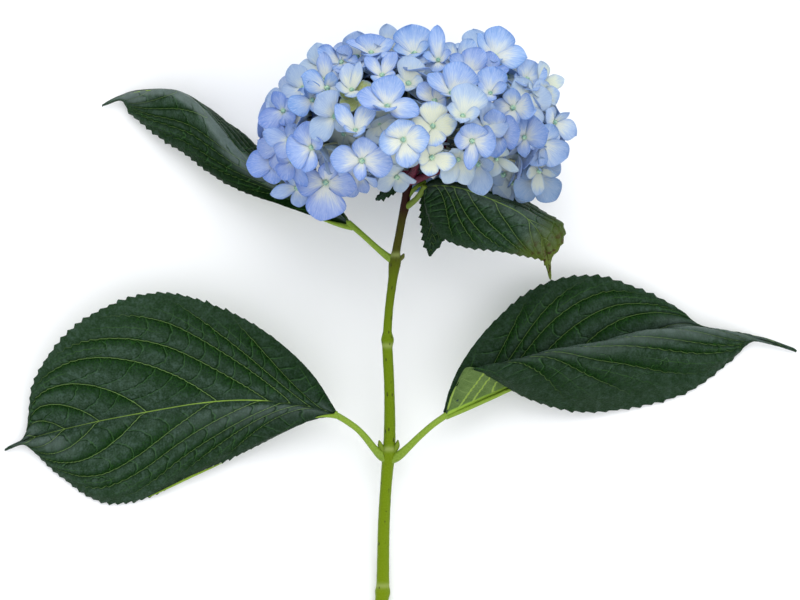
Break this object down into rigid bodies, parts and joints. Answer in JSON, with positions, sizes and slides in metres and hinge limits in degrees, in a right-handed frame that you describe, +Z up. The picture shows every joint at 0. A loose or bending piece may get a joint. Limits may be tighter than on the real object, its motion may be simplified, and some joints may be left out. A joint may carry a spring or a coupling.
{
  "type": "cut hydrangea",
  "caption": "Cut hydrangea shoot lying down: slanting stem, large toothed leaves and a broad mophead of four-sepalled florets.",
  "frame": {"origin": "bottom centre of the whole shoot's box, on the surface it lies on", "axes": "+Z up, +Y along the stem from the cut end to the flower head, +X to the right seen from above"},
  "size_m": [0.4068, 0.2942, 0.136],
  "materials": {
    "stem": "satin",
    "petiole": "satin",
    "leaf": "satin",
    "branch": "satin",
    "sepal": "matte"
  },
  "bodies": {
    "root": {"stem": "stem", "petiole_lower_left": "petiole", "petiole_lower_right": "petiole", "petiole_upper_left": "petiole", "petiole_upper_right": "petiole", "stalk_small_hanging": "petiole", "blade_lower_left": "leaf", "blade_lower_right": "leaf", "blade_upper_left": "leaf", "blade_upper_right": "leaf", "blade_small_hanging": "leaf", "blade_small_neck": "leaf", "flower_branches": "branch", "flower_head": "sepal"}
  },
  "joints": []
}
